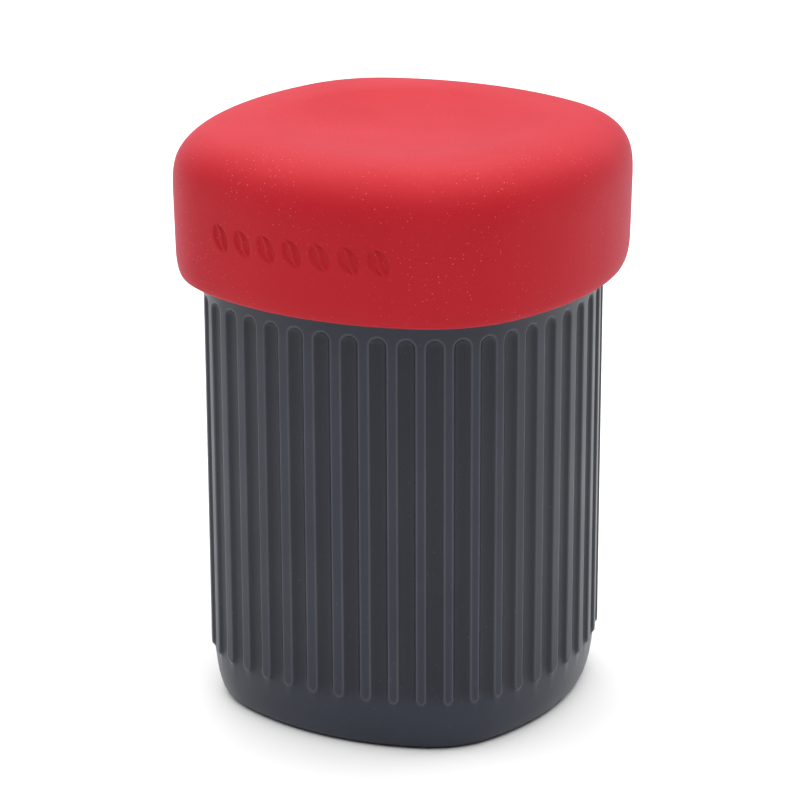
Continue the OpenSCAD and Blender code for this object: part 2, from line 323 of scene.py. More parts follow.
class NodeTable:
    """A node tree, with short ways to add a node and join it up."""

    def __init__(self, tree: bpy.types.NodeTree) -> None:
        """Works on one tree."""
        self.tree = tree

    def add(
        self, kind: str, inputs: Optional[dict[Union[str, int], Union[Socket, float, tuple]]] = None,
        **settings: object,
    ) -> bpy.types.Node:
        """Adds a node.

        Args:
            kind: The node's type.
            inputs: Values or sockets for its inputs, by name or number.
            settings: The node's own properties.

        Returns:
            The node.
        """
        node = self.tree.nodes.new(kind)
        for key, value in settings.items():
            setattr(node, key, value)
        for key, value in (inputs or {}).items():
            target = node.inputs[key]
            if isinstance(value, Socket):
                self.tree.links.new(value, target)
            else:
                target.default_value = value
        return node

    def noise(self, where: Socket, scale: Union[Socket, float], detail: float, rough: float) -> Socket:
        """Adds a noise texture.

        Args:
            where: The coordinates.
            scale: Its scale.
            detail: How many octaves it has.
            rough: How strong the finer ones are.

        Returns:
            The noise.
        """
        inputs = {"Vector": where, "Scale": scale, "Detail": detail, "Roughness": rough}
        return self.add("ShaderNodeTexNoise", inputs).outputs[0]

    def mix(self, share: Socket, low: Union[Socket, Colour], high: Union[Socket, Colour]) -> Socket:
        """Mixes two colours.

        Args:
            share: The mask.
            low: Colour or socket where the mask is 0.
            high: Colour or socket where the mask is 1.

        Returns:
            The mixed colour.
        """
        node = self.tree.nodes.new("ShaderNodeMix")
        node.data_type = "RGBA"
        self.tree.links.new(share, node.inputs[0])
        for index, colour in ((6, low), (7, high)):
            if isinstance(colour, Socket):
                self.tree.links.new(colour, node.inputs[index])
            else:
                node.inputs[index].default_value = (*colour, 1)
        return node.outputs[2]

    def remap(self, value: Socket, low: float, high: float, to_low: float, to_high: float) -> Socket:
        """Maps a value from one range to another, clamped.

        Args:
            value: The value.
            low: Start of its range.
            high: End of its range.
            to_low: What the start becomes.
            to_high: What the end becomes.

        Returns:
            The mapped value.
        """
        return self.add(
            "ShaderNodeMapRange", {0: value, 1: low, 2: high, 3: to_low, 4: to_high}
        ).outputs[0]

    def maths(self, operation: str, first: Socket, second: Union[Socket, float]) -> Socket:
        """Joins two values.

        Args:
            operation: Blender's name for the sum.
            first: The first value.
            second: The second value.

        Returns:
            The result.
        """
        return self.add("ShaderNodeMath", {0: first, 1: second}, operation=operation).outputs[0]


def effect_group(effect: Effect) -> bpy.types.NodeTree:
    """Builds an effect's node group once, and gives it back after that.

    Args:
        effect: Which effect.

    Returns:
        The shader node group.
    """
    if effect.value in bpy.data.node_groups:
        return bpy.data.node_groups[effect.value]
    tree = bpy.data.node_groups.new(effect.value, "ShaderNodeTree")
    table = NodeTable(tree)
    tree.interface.new_socket("Scale", in_out="INPUT", socket_type="NodeSocketFloat")
    tree.interface.new_socket("Amount", in_out="INPUT", socket_type="NodeSocketFloat")
    tree.interface.new_socket("Mask", in_out="OUTPUT", socket_type="NodeSocketFloat")
    given = table.add("NodeGroupInput")
    where = table.add("ShaderNodeTexCoord").outputs["Object"]
    scale, amount = given.outputs["Scale"], given.outputs["Amount"]
    if effect is Effect.DUST:
        cells = table.add("ShaderNodeTexVoronoi", {"Vector": where, "Scale": scale})
        limit = table.maths("MULTIPLY", amount, 0.12)
        near = table.maths("DIVIDE", cells.outputs["Distance"], limit)
        speck = table.remap(near, 0.55, 1.1, 1, 0)
        patches = table.add("ShaderNodeTexNoise", {"Vector": where, "Scale": 45.0, "Detail": 3.0})
        mask = table.maths("MULTIPLY", speck, table.remap(patches.outputs[0], 0.38, 0.66, 0.15, 1))
    elif effect is Effect.MOTTLE:
        noise = table.noise(where, scale, 5.0, 0.55)
        mask = table.maths("MULTIPLY", table.remap(noise, 0.3, 0.7, 0, 1), amount)
    elif effect is Effect.GRAIN:
        noise = table.noise(where, scale, 2.0, 0.6)
        mask = table.maths("MULTIPLY", noise, amount)
    else:
        stretch = table.add("ShaderNodeMapping", {"Vector": where, "Scale": (1.0, 1.0, 0.12)})
        noise = table.noise(stretch.outputs[0], scale, 6.0, 0.7)
        mask = table.maths("MULTIPLY", table.remap(noise, 0.56, 0.72, 0, 1), amount)
    table.add("NodeGroupOutput", {"Mask": mask})
    return tree


@dataclass(frozen=True)
class Finish:
    """A moulded finish: a base colour with slow variation, fine grain, dust and scuffs; some finishes also
    carry painted shade in grooves and a painted highlight along edges.
    """

    name: str
    slot: str
    colour: Colour
    shade: Colour
    dust_colour: Colour = (0.8, 0.8, 0.8)
    roughness: float = 0.45
    roughness_range: float = 0.08
    mottle_scale: float = 45.0
    grain_scale: float = 2600.0
    grain_height: float = 0.03
    dust_scale: float = 380.0
    dust: float = 0.0
    scuffs: float = 0.0
    sheen: float = 0.0
    sheen_roughness: float = 0.5
    sheen_tint: Colour = (1.0, 1.0, 1.0)
    specular: float = 0.5
    transmission: float = 0.0
    metallic: float = 0.0
    # Strength of the painted shade that darkens the flute floors.
    painted_groove_shade: float = 0.0
    # Strength of the painted highlight along the flutes' lips.
    edge_highlight_strength: float = 0.0
    ior: float = 1.5

    def effect(self, table: NodeTable, effect: Effect, scale: float, amount: float) -> Socket:
        """Places an effect's group in a material.

        Args:
            table: The material's nodes.
            effect: Which effect.
            scale: Its scale.
            amount: How strong it is.

        Returns:
            The effect's mask.
        """
        node = table.add("ShaderNodeGroup", node_tree=effect_group(effect))
        node.inputs["Scale"].default_value = scale
        node.inputs["Amount"].default_value = amount
        return node.outputs["Mask"]

    def material(self) -> bpy.types.Material:
        """Builds the material once.

        Returns:
            The material.
        """
        if self.name in bpy.data.materials:
            return bpy.data.materials[self.name]
        made = bpy.data.materials.new(self.name)
        made.use_nodes = True
        table = NodeTable(made.node_tree)
        shader = made.node_tree.nodes["Principled BSDF"]
        colour, rough = self.coat(table)
        grain = self.effect(table, Effect.GRAIN, self.grain_scale, 1.0)
        bump = table.add(
            "ShaderNodeBump", {"Strength": 0.6, "Distance": self.grain_height * MM, "Height": grain}
        )
        links = made.node_tree.links
        links.new(colour, shader.inputs["Base Color"])
        links.new(rough, shader.inputs["Roughness"])
        links.new(bump.outputs[0], shader.inputs["Normal"])
        shader.inputs["IOR"].default_value = self.ior
        shader.inputs["Specular IOR Level"].default_value = self.specular
        shader.inputs["Sheen Weight"].default_value = self.sheen
        shader.inputs["Sheen Roughness"].default_value = self.sheen_roughness
        shader.inputs["Sheen Tint"].default_value = (*self.sheen_tint, 1)
        shader.inputs["Transmission Weight"].default_value = self.transmission
        shader.inputs["Metallic"].default_value = self.metallic
        return made

    def coat(self, table: NodeTable) -> tuple[Socket, Socket]:
        """Layers the finish's effects over its colour.

        Args:
            table: The material's nodes.

        Returns:
            The base colour and the roughness.
        """
        mottle = self.effect(table, Effect.MOTTLE, self.mottle_scale, 1.0)
        colour = table.mix(mottle, self.shade, self.colour)
        swing = self.roughness_range / 2
        rough = table.remap(mottle, 0, 1, self.roughness + swing, self.roughness - swing)
        # Painted shade: the flute floors are darkened where less light reaches into them.
        if self.painted_groove_shade:
            painted_groove_mask = table.add("ShaderNodeAttribute", attribute_name="painted_groove_mask").outputs["Fac"]
            deep = tuple(c * (1 - self.painted_groove_shade) for c in self.shade)
            colour = table.mix(painted_groove_mask, colour, deep)
            rough = table.maths("ADD", rough, table.maths("MULTIPLY", painted_groove_mask, 0.08))
        # Painted highlight: a pale line along the flutes' rounded lips.
        if self.edge_highlight_strength:
            edge_highlight = table.add("ShaderNodeAttribute", attribute_name="painted_edge_highlight").outputs["Fac"]
            highlight_share = table.maths("MULTIPLY", edge_highlight, table.remap(mottle, 0, 1, 0.7, 1.0))
            pale = sum(self.colour) / 3 * (1 + self.edge_highlight_strength)
            colour = table.mix(highlight_share, colour, (pale * 0.95, pale, pale * 1.2))
        if self.scuffs:
            scuff = self.effect(table, Effect.SCUFF, 160.0, self.scuffs)
            lighter = tuple(min(1.0, c * 1.5 + 0.02) for c in self.colour)
            colour = table.mix(scuff, colour, lighter)
            rough = table.maths("ADD", rough, table.maths("MULTIPLY", scuff, 0.12))
        if self.dust:
            dust = self.effect(table, Effect.DUST, self.dust_scale, 1.0)
            fine = self.effect(table, Effect.DUST, self.dust_scale * 2.3, 1.0)
            both = table.maths("MAXIMUM", dust, table.maths("MULTIPLY", fine, 0.6))
            colour = table.mix(table.maths("MULTIPLY", both, self.dust), colour, self.dust_colour)
        return colour, rough


RED_SILICONE = Finish(
    "Red silicone", "lid_silicone", (0.445, 0.013, 0.021), (0.405, 0.010, 0.017),
    dust_colour=(0.85, 0.42, 0.42), roughness=0.62, roughness_range=0.06, mottle_scale=30.0,
    grain_scale=3200.0, grain_height=0.02, dust=0.4, dust_scale=860.0, sheen=0.08, sheen_roughness=0.4,
    sheen_tint=(0.55, 0.62, 1.0), specular=0.12,
)
# The mug's plastic, with painted shade in its flutes and a painted highlight along their lips.
GREY_PLASTIC = Finish(
    "Matte grey plastic", "mug_plastic", (0.0205, 0.0250, 0.0415), (0.0180, 0.0220, 0.0365),
    dust_colour=(0.2, 0.2, 0.21), roughness=0.36, roughness_range=0.06, specular=0.32, grain_scale=3000.0,
    grain_height=0.012, dust=0.10, scuffs=0.08, painted_groove_shade=0.42, edge_highlight_strength=1.3,
)
SMOKE_PLASTIC = Finish(
    "Smoke plastic", "smoke_plastic", (0.30, 0.31, 0.33), (0.24, 0.25, 0.27), roughness=0.2,
    roughness_range=0.06, grain_height=0.006, dust=0.06, transmission=0.9, ior=1.5,
)
BLACK_PLASTIC = Finish(
    "Black plastic", "black_plastic", (0.022, 0.022, 0.024), (0.017, 0.017, 0.018), roughness=0.36,
    roughness_range=0.1, grain_height=0.015, dust=0.12, scuffs=0.18,
)
SEAL_RUBBER = Finish(
    "Seal rubber", "seal_rubber", (0.030, 0.030, 0.033), (0.022, 0.022, 0.024), roughness=0.55,
    roughness_range=0.1, grain_height=0.03, dust=0.25, sheen=0.15,
)
CASE_PLASTIC = Finish(
    "Tray plastic", "case_plastic", (0.075, 0.078, 0.086), (0.064, 0.066, 0.073), roughness=0.4,
    roughness_range=0.1, grain_height=0.02, dust=0.12, scuffs=0.15,
)
FILTER_PAPER = Finish(
    "Filter paper", "filter_paper", (0.84, 0.81, 0.73), (0.74, 0.71, 0.63),
    dust_colour=(0.6, 0.55, 0.46), roughness=0.85, roughness_range=0.06, mottle_scale=500.0,
    grain_scale=1400.0, grain_height=0.08, dust=0.2, dust_scale=600.0, specular=0.2,
)
PIN_STEEL = Finish(
    "Pin steel", "pin_steel", (0.62, 0.62, 0.61), (0.52, 0.52, 0.52), roughness=0.28,
    roughness_range=0.12, mottle_scale=300.0, grain_height=0.01, scuffs=0.2, metallic=1.0,
)


def hand_over(
    piece: bpy.types.Object, finish: Finish, body: str, *nodes: str
) -> bpy.types.Object:
    """Gives a piece its finish and its body, hides the CAD nodes that it stands for and logs it.

    Args:
        piece: The finished object.
        finish: What it's made of.
        body: The CAD body that it moves with.
        nodes: The CAD nodes that it stands for.

    Returns:
        The piece.
    """
    piece.data.materials.clear()
    piece.data.materials.append(finish.material())
    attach(piece, body)
    if nodes:
        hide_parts(*nodes)
    log.info("%s: %d faces, %s, on %s", piece.name, len(piece.data.polygons), finish.name, body)
    return piece


# ---------------------------------------------------------------- the mug


@dataclass
class Mug:
    """The drinking mug, with 44 upright flutes between narrow ribs."""

    half: float = 44.0
    height: float = 112.0
    inner_half: float = 41.6
    floor: float = 4.0
    foot_in: float = 3.2
    foot_height: float = 14.0
    inner_rise: float = 11.0
    recess_radius: float = 32.0
    recess: float = 1.0
    flutes_per_side: int = 11
    flute_half: float = 2.0
    flute_depth: float = 0.9
    flute_ease: float = 0.46
    flute_top: float = 98.0
    rib_bottom: float = 12.7
    lip: float = 0.22
    least_outer: float = 39.0
    lip_round: float = 0.3
    wall_power: float = 4.5
    tip_stretch: float = 0.8
    column_steps: tuple[float, ...] = (0.0, 0.6, 1.15, 1.5, 1.72, 1.9, 2.05, 2.22, 2.45, 2.75)
    tip_levels: tuple[float, ...] = (11.6, 12.0, 12.3, 12.6, 12.9, 13.2, 13.6, 14.1, 14.8)
    wall_levels: tuple[float, ...] = (16.0, 40.0, 68.0)
    top_levels: tuple[float, ...] = (
        96.5, 98.0, 98.55, 99.0, 99.35, 99.6, 99.8, 99.95, 100.1, 100.3, 100.6, 101.2, 104.0
    )
    blend: Point = (33.0, 38.0)

    @property
    def pitch(self) -> float:
        """Mean distance between flutes."""
        return 2 * PLAN.half_run / self.flutes_per_side

    def flute_run(self, count: float) -> float:
        """Distance of a flute from the middle of a side, by its count from there."""
        turn = math.tau * count / self.flutes_per_side
        return count * self.pitch + self.flute_ease * math.sin(turn)

    def columns(self) -> list[tuple[float, float, float]]:
        """Sets out the columns of points, closest together at the flutes' edges.

        Returns:
            For each column, its run, its distance from the flute's middle, and half the rib's width.
        """
        made = []
        offsets = [-s for s in reversed(self.column_steps[1:])] + list(self.column_steps)
        for index in range(4 * self.flutes_per_side):
            side, place = divmod(index, self.flutes_per_side)
            count = place - self.flutes_per_side / 2 + 1
            middle = self.flute_run(count)
            before = (middle - self.flute_run(count - 1)) / 2
            after = (self.flute_run(count + 1) - middle) / 2
            base = side * 2 * PLAN.half_run + middle
            made.append((base - before, before, before - self.flute_half))
            for offset in offsets:
                gap = before if offset < 0 else after
                made.append((base + offset, abs(offset), gap - self.flute_half))
        return made

    def fluting(self, across: float, rib_half: float, height: float) -> tuple[float, float]:
        """Shape of the fluting at a point of the wall.

        Args:
            across: Distance from the nearest flute's middle.
            rib_half: Half the width of the rib beside it.
            height: Height above the base.

        Returns:
            How far the wall lies inside the ribs' faces, and how strongly a highlight is painted there along
            the flute's lip, from 0 to 1.
        """
        over = max(0.0, height - self.flute_top)
        reach = self.flute_half - math.hypot(across, over)
        tip = self.rib_bottom + rib_half
        if height < tip:
            from_rib = self.flute_half + rib_half - across
            below = math.hypot(from_rib, (tip - height) * self.tip_stretch) - rib_half
            reach = max(reach, below)
        inside = reach + self.lip
        # Mask for the painted highlight along the flutes' rounded lips.
        painted_edge_highlight = soft_step(inside, -0.3, 0.0) * (1 - soft_step(inside, 0.12, 0.3))
        if inside <= 0:
            return 0.0, painted_edge_highlight
        full = self.flute_half + self.lip
        inside = min(inside, full)
        share = (inside**2 / (inside + self.lip_round)) / (full**2 / (full + self.lip_round))
        return self.flute_depth * (1 - (1 - share) ** self.wall_power), painted_edge_highlight

    def build(self) -> bpy.types.Object:
        """Spins the mug's section, lays it on the plan and presses the flutes into it.

        Returns:
            The mug.
        """
        blank = Blank()
        rim = bow((self.half, self.height - 0.9), (self.half - 0.9, self.height), 2, 4, False)
        inner_foot = (self.inner_half - self.foot_in, self.floor + 0.6)
        inner = bow((self.inner_half, self.floor + self.inner_rise), inner_foot, 2, 6, False)
        foot = bow((self.half - self.foot_in, 0.35), (self.half, self.foot_height), 2, 9, True)
        section = [
            (0, self.recess), (self.recess_radius - 0.5, self.recess), (self.recess_radius, 0.0),
            (self.half - self.foot_in - 0.7, 0.0), *foot, *rim,
            (self.inner_half + 0.4, self.height), (self.inner_half, self.height - 0.4),
            *inner, (self.inner_half - self.foot_in - 3, self.floor), (0, self.floor),
        ]
        blank.outline(section, False)
        levels = self.tip_levels + self.wall_levels + self.top_levels
        blank.cut_levels(levels, self.inner_half + 0.2)
        columns = self.columns()
        blank.turn(len(columns))
        # Masks for the material: a painted highlight along the flutes' lips and painted shade in the flutes.
        edge_highlight = blank.bm.verts.layers.float.new("painted_edge_highlight")
        painted_groove_mask = blank.bm.verts.layers.float.new("painted_groove_mask")
        for vert in blank.bm.verts:
            half = math.hypot(vert.co.x, vert.co.y)
            if half <= self.least_outer or vert.co.z >= self.height - 1 or self.is_inner(half, vert.co.z):
                continue
            _, across, rib_half = columns[blank.column_of(vert, len(columns))]
            depth, vert[edge_highlight] = self.fluting(across, rib_half, vert.co.z)
            in_flute = soft_step(vert.co.z, self.rib_bottom - 2, self.rib_bottom + 3)
            vert[painted_groove_mask] = depth / self.flute_depth * in_flute
            blank.sink(vert, depth)
        blank.wrap([c[0] for c in columns], self.blend)
        return hand_over(blank.to_object("mug_body", 75), GREY_PLASTIC, "mug", "mug")

    def is_inner(self, half: float, height: float) -> bool:
        """Tells whether a point of the section belongs to the inner wall.

        Args:
            half: The point's half width.
            height: Its height above the base.

        Returns:
            True for the inner wall, whose curve the outer foot runs below.
        """
        if half > self.inner_half + 1e-3 or height <= self.floor - 0.1:
            return False
        drop = max(0.0, (self.floor + self.inner_rise - height) / self.inner_rise)
        curve = self.foot_in * (1 - math.sqrt(max(0.0, 1 - drop * drop)))
        return half <= self.inner_half - curve + (0.4 if drop > 0 else 0.05)


# ---------------------------------------------------------------- the lid


@dataclass
class Lid:
    """The soft silicone lid, with a row of plain coffee beans pressed into its front."""

    half: float = 50.4
    bottom: float = 104.0
    top: float = 138.0
    wall: float = 2.8
    lip_half: float = 44.2
    lip_height: float = 5.0
    draft: float = 0.28
    edge_in: float = 1.3
    edge_height: float = 6.6
    crown_in: float = 19.0
    crown_height: float = 13.6
    crown_power: float = 3.0
    dish_radius: float = 31.0
    dish_depth: float = 2.5
    bean_count: int = 7
    bean_pitch: float = 6.2
    bean_height: float = 7.0
    bean_width: float = 4.2
    bean_level: float = 119.2
    bean_tilt: float = 25.0
    bean_depth: float = 0.5
    bean_seam: float = 0.4
    bean_reach: float = 22.0
    bean_band: float = 4.5
    bean_mesh: float = 0.25
    blend: Point = (30.0, 43.0)

    @property
    def front(self) -> float:
        """Distance round the plan to the middle of the front, the -Y side."""
        return 6 * PLAN.half_run

    def columns(self) -> list[float]:
        """Sets out the columns, close together across the beans.

        Returns:
            The run of each column.
        """
        runs = [r for r in even_runs(256) if abs(r - self.front) > self.bean_reach]
        fine = int(2 * self.bean_reach / self.bean_mesh)
        runs += [self.front - self.bean_reach + self.bean_mesh * i for i in range(fine + 1)]
        return sorted(runs)

    def bean_press(self, along: float, height: float) -> float:
        """Depth of the row of beans at a point of the lid's front.

        Args:
            along: Distance from the middle of the front.
            height: Height above the base.

        Returns:
            How deep the beans are pressed there.
        """
        last = self.bean_count // 2
        number = max(-last, min(last, round(along / self.bean_pitch)))
        x, z = along - number * self.bean_pitch, height - self.bean_level
        tilt = math.radians(self.bean_tilt)
        x, z = x * math.cos(tilt) + z * math.sin(tilt), z * math.cos(tilt) - x * math.sin(tilt)
        radius = (self.bean_height**2 + self.bean_width**2) / (4 * self.bean_width)
        centre = radius - self.bean_width / 2
        inside = radius - max(math.hypot(x - centre, z), math.hypot(x + centre, z))
        seam = abs(x - 0.35 * math.sin(z * 0.95)) - self.bean_seam
        return self.bean_depth * min(soft_step(inside, -0.1, 0.4), soft_step(seam, -0.25, 0.25))

    def build(self) -> bpy.types.Object:
        """Spins the lid's section, lays it on the plan and presses the beans in.

        Returns:
            The lid.
        """
        wall_half = self.half - self.draft
        roof = self.top - self.dish_depth - self.wall
        edge_low = (wall_half - self.edge_in, self.bottom + 0.35)
        edge = bow(edge_low, (wall_half, self.bottom + self.edge_height), 2, 6, True)
        crown_low = (self.half, self.top - self.crown_height)
        crown = bow(crown_low, (self.half - self.crown_in, self.top), self.crown_power, 22, False)
        inner_half = self.half - self.wall
        vault = bow((inner_half, roof - 11.5), (inner_half - 14, roof), 2.6, 8, False)
        dish = [
            (self.dish_radius * share, self.top - self.dish_depth * (1 - share**2.2))
            for share in (0.96, 0.9, 0.82, 0.7, 0.55, 0.35, 0.15, 0)
        ]
        section = [
            (0, roof), *reversed(vault), (inner_half, self.bottom + self.lip_height + 2.5),
            (self.lip_half, self.bottom + self.lip_height), (self.lip_half, self.bottom + 0.4),
            (self.lip_half + 0.4, self.bottom), (wall_half - self.edge_in - 0.5, self.bottom),
            *edge, *crown, *dish,
        ]
        blank = Blank()
        blank.outline(section, False)
        blank.cut_levels([self.bean_level + self.bean_mesh * i for i in range(-17, 18)], inner_half + 0.3)
        runs = self.columns()
        blank.turn(len(runs))
        for vert in blank.bm.verts:
            outer = math.hypot(vert.co.x, vert.co.y) > inner_half + 0.5
            if outer and abs(vert.co.z - self.bean_level) < self.bean_band:
                along = runs[blank.column_of(vert, len(runs))] - self.front
                if abs(along) < self.bean_reach:
                    blank.sink(vert, self.bean_press(along, vert.co.z))
        blank.wrap(runs, self.blend)
        return hand_over(blank.to_object("lid_cap", 60), RED_SILICONE, "lid", "lid")


# ---------------------------------------------------------------- the press


@dataclass
class BrewChamber:
    """The brewing cylinder, which hangs on the mug's rim by its flange."""

    bore: float = 30.3
    radius: float = 33.0
    bottom: float = 12.8
    top: float = 115.0
    flange_half: float = 43.9
    flange: float = 3.0
    step_half: float = 41.3
    step: float = 2.5
    gusset: tuple[float, float] = (2.0, 6.0)
    lug_radius: float = 34.6
    lug_level: float = 14.0
    lug_height: float = 3.0
    lug_turn: float = 30.0
    sunk: float = 0.8
    blend: Point = (34.0, 38.5)

    def lug(self, start: float, turn: float, height: float) -> Blank:
        """A wedge of a ring at the chamber's lower end.

        Args:
            start: Angle where it begins, in degrees.
            turn: How far it goes round, in degrees.
            height: Its height in millimetres.

        Returns:
            The wedge.
        """
        wedge = Blank()
        low, high = self.lug_level, self.lug_level + height
        root = self.radius - self.sunk
        corners = ((root, low), (self.lug_radius, low), (self.lug_radius, high), (root, high))
        wedge.bm.faces.new([wedge.bm.verts.new((x, 0, z)) for x, z in corners])
        wedge.turn(max(2, int(turn / 3)), math.radians(turn))
        wedge.move(Matrix.Rotation(math.radians(start), 4, "Z"))
        return wedge

    def web(self, angle: float, top: float) -> Blank:
        """A gusset between the tube and its flange.

        Args:
            angle: Where it stands, in degrees.
            top: Height of the flange's underside.

        Returns:
            The gusset, with its lower edges softened.
        """
        web = Blank()
        bmesh.ops.create_cube(web.bm, size=1)
        width, height = self.gusset
        reach = self.step_half - self.step / 2 - self.radius + self.sunk
        web.move(
            Matrix.Rotation(math.radians(angle), 4, "Z")
            @ Matrix.Translation((self.radius - self.sunk + reach / 2, 0, top - height / 2))
            @ Matrix.Diagonal((reach, width, height, 1))
        )
        lower = [
            e for e in web.bm.edges
            if abs(e.verts[0].co.z - e.verts[1].co.z) < 0.1 and e.verts[0].co.z < top - 1
        ]
        bmesh.ops.bevel(
            web.bm, geom=lower, offset=0.5, offset_type="OFFSET", segments=2, profile=0.5,
            affect="EDGES", material=-1,
        )
        return web

    def build(self) -> bpy.types.Object:
        """Spins the tube and its flange, then adds the gussets and lugs.

        Returns:
            The chamber.
        """
        low = self.top - self.flange
        section = [
            (self.bore, self.bottom), (self.radius, self.bottom), (self.radius, low),
            (self.step_half - self.step, low), (self.step_half - self.step, low - self.step),
            (self.step_half, low - self.step), (self.step_half, low), (self.flange_half, low),
            (self.flange_half, self.top), (self.bore, self.top),
        ]
        blank = Blank()
        rounds = [(0, 0.5), (1, 0.5), (2, 0.8), (4, 0.4), (5, 0.4), (7, 0.4), (8, 0.9), (9, 0.6)]
        blank.outline(section, True, rounds)
        blank.turn(256)
        blank.wrap(even_runs(256), self.blend)
        for turn in range(8):
            blank.add(self.web(45 * turn, low))
        for quarter in range(4):
            blank.add(self.lug(90 * quarter - self.lug_turn / 2, self.lug_turn, self.lug_height))
        return hand_over(blank.to_object("brew_tube", 40), SMOKE_PLASTIC, "brew_chamber", "brew_chamber")


def paper_disc(radius: float, low: float, thick: float, steps: int) -> Blank:
    """Cuts a round paper.

    Args:
        radius: Its radius.
        low: Height of its underside.
        thick: Its thickness.
        steps: Steps round its edge.

    Returns:
        The paper.
    """
    disc = Blank()
    disc.outline([(0, low), (radius, low), (radius, low + thick), (0, low + thick)], False)
    disc.turn(steps)
    return disc


@dataclass
class FilterCap:
    """The perforated cap with its paper."""

    paper_radius: float = 31.9
    paper_low: float = 12.52
    paper_thick: float = 0.2

    def build(self) -> list[bpy.types.Object]:
        """Softens the cap's edges and cuts the paper.

        Returns:
            The cap and its paper.
        """
        shell = copied_node("filter_cap", 0.2).to_object("drain_cap", 40)
        cap = hand_over(shell, BLACK_PLASTIC, "filter_cap", "filter_cap")
        sheet = paper_disc(self.paper_radius, self.paper_low, self.paper_thick, 128)
        paper = hand_over(sheet.to_object("cap_paper", 40), FILTER_PAPER, "filter_cap", "filter_paper")
        return [cap, paper]


@dataclass
class Plunger:
    """The plunger's open tube, its flange, and the seal on its boss."""

    radius: float = 28.6
    wall: float = 2.2
    floor_level: float = 24.0
    floor: float = 3.0
    top: float = 118.1
    flange_half: float = 35.5
    flange: float = 3.0
    boss: float = 20.0
    head: float = 24.0
    head_level: float = 17.2
    head_height: float = 2.4
    seal_radius: float = 30.25
    seal_waist: float = 29.6
    seal_bottom: float = 13.6
    seal_room: float = 0.05
    blend: Point = (28.7, 35.0)

    def build(self) -> list[bpy.types.Object]:
        """Spins the tube and the seal.

        Returns:
            The tube and its seal.
        """
        low, inner = self.top - self.flange, self.radius - self.wall
        tube = Blank()
        head_top = self.head_level + self.head_height
        section = [
            (0, self.head_level), (self.head, self.head_level), (self.head, head_top),
            (self.boss, head_top), (self.boss, self.floor_level), (self.radius, self.floor_level),
            (self.radius, low), (self.flange_half, low), (self.flange_half, self.top), (inner, self.top),
            (inner, self.floor_level + self.floor), (0, self.floor_level + self.floor),
        ]
        rounds = [(1, 0.5), (5, 0.8), (6, 0.8), (7, 0.6), (8, 0.7), (9, 0.5), (10, 1.5)]
        tube.outline(section, False, rounds)
        tube.turn(240)
        tube.wrap(even_runs(240), self.blend)
        seal = Blank()
        bottom, top, edge, room = self.seal_bottom, self.floor_level, self.seal_radius, self.seal_room
        ring = [
            (0, bottom), (edge - 2, bottom), (edge, bottom + 1.2), (edge, bottom + 2.6),
            (self.seal_waist, bottom + 3.6), (self.seal_waist, top - 3.6), (edge, top - 2),
            (edge, top - 0.6), (edge - 1, top - 0.02), (self.boss + room, top - 0.02),
            (self.boss + room, head_top + room), (self.head + room, head_top + room),
            (self.head + room, self.head_level - room), (0, self.head_level - room),
        ]
        rounds = [(1, 0.8), (2, 0.5), (3, 0.4), (4, 0.5), (5, 0.5), (6, 0.4), (7, 0.3)]
        seal.outline(ring, False, rounds)
        seal.turn(160)
        return [
            hand_over(tube.to_object("plunger_tube", 40), SMOKE_PLASTIC, "plunger", "plunger"),
            hand_over(seal.to_object("plunger_ring", 40), SEAL_RUBBER, "plunger", "plunger_seal"),
        ]


@dataclass
class Utensils:
    """The scoop and the folding stirrer, stored inside the plunger."""

    softening: float = 0.3
    pieces: dict[str, str] = field(
        default_factory=lambda: {
            "scoop": "scoop", "stirrer_handle": "stirrer", "stirrer_paddle": "stirrer_paddle"
        }
    )

    def build(self) -> list[bpy.types.Object]:
        """Softens the moulded utensils and dresses the pin.

        Returns:
            The pieces.
        """
        made = []
        for node, body in self.pieces.items():
            piece = copied_node(node, self.softening).to_object(node + "_moulded", 35)
            made.append(hand_over(piece, BLACK_PLASTIC, body, node))
        pin = copied_node("stirrer_pin", 0.2).to_object("hinge_pin", 35)
        made.append(hand_over(pin, PIN_STEEL, "stirrer", "stirrer_pin"))
        return made


